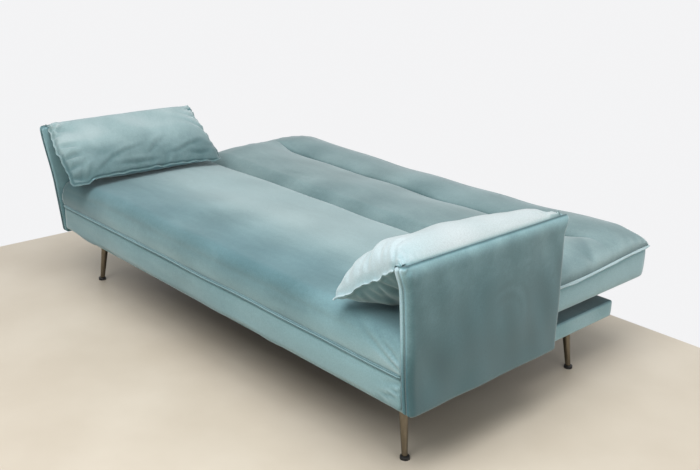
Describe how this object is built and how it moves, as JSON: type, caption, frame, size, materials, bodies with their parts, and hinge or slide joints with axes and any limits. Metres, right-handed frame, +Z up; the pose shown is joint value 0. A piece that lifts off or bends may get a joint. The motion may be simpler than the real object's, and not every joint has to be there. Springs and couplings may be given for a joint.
{
  "type": "sofa bed",
  "caption": "Click-clack sofa bed in velvet, folded flat, with slim panel arms, cushions sewn along the arm tops, a channelled fold-down back and splayed metal legs.",
  "frame": {"origin": "on the floor, at the middle of the sofa's length and depth with the back folded flat", "axes": "+X along the length, to the right of a person facing the front; -Y to the front; +Z up"},
  "size_m": [1.944, 1.2852, 0.6562],
  "materials": {
    "timber": "planed softwood and plywood",
    "velvet": "sea-green velvet with a soft nap",
    "lining": "black non-woven lining",
    "webbing": "black elastic webbing",
    "leg_metal": "dark gunmetal, glossy",
    "steel": "zinc plated",
    "glide": "matte black"
  },
  "bodies": {
    "base": {"base_front_rail": "timber", "base_rear_rail": "timber", "base_left_rail": "timber", "base_right_rail": "timber", "base_cross_rails": "timber", "base_leg_blocks": "timber", "seat_front_rail": "timber", "seat_rear_rail": "timber", "seat_end_rails": "timber", "seat_cross_rails": "timber", "arm_board_left": "timber", "arm_board_right": "timber", "base_cover": "velvet", "base_deck": "velvet", "seat_border": "velvet", "seat_welt": "velvet", "seat_cushion": "velvet", "arm_cover_left": "velvet", "arm_cover_right": "velvet", "base_dust_cover": "lining", "seat_webbing": "webbing", "leg_front_left": "leg_metal", "leg_front_right": "leg_metal", "leg_rear_left": "leg_metal", "leg_rear_right": "leg_metal", "leg_plates": "leg_metal", "leg_plate_screws": "steel", "seat_bolts": "steel", "arm_bolts": "steel", "arm_tee_nuts": "steel", "hinge_bracket_left": "steel", "hinge_bracket_right": "steel", "ratchet_drum_left": "steel", "ratchet_drum_right": "steel", "hinge_pin_left": "steel", "hinge_pin_right": "steel", "hinge_bracket_screws": "steel", "foot_glides": "glide"},
    "backrest": {"back_near_rail": "timber", "back_far_rail": "timber", "back_end_rails": "timber", "back_hinge_rails": "timber", "back_cross_rails": "timber", "back_webbing": "webbing", "back_dust_cover": "lining", "back_border": "velvet", "back_welt": "velvet", "back_cushion": "velvet", "hinge_arm_left": "steel", "hinge_arm_right": "steel", "hinge_arm_screws": "steel"},
    "left_cushion": {"left_arm_cushion": "velvet"},
    "right_cushion": {"right_arm_cushion": "velvet"}
  },
  "joints": [
    {"name": "backrest_fold", "type": "hinge", "parent": "base", "child": "backrest", "pos_m": [0, 0.1635, 0.352], "axis": [1, 0, 0], "range_deg": [0, 75]},
    {"name": "left_cushion_lift", "type": "hinge", "parent": "base", "child": "left_cushion", "pos_m": [-0.952, 0, 0.6478], "axis": [0, -1, 0], "range_deg": [0, 90]},
    {"name": "right_cushion_lift", "type": "hinge", "parent": "base", "child": "right_cushion", "pos_m": [0.952, 0, 0.6478], "axis": [0, 1, 0], "range_deg": [0, 90]}
  ]
}
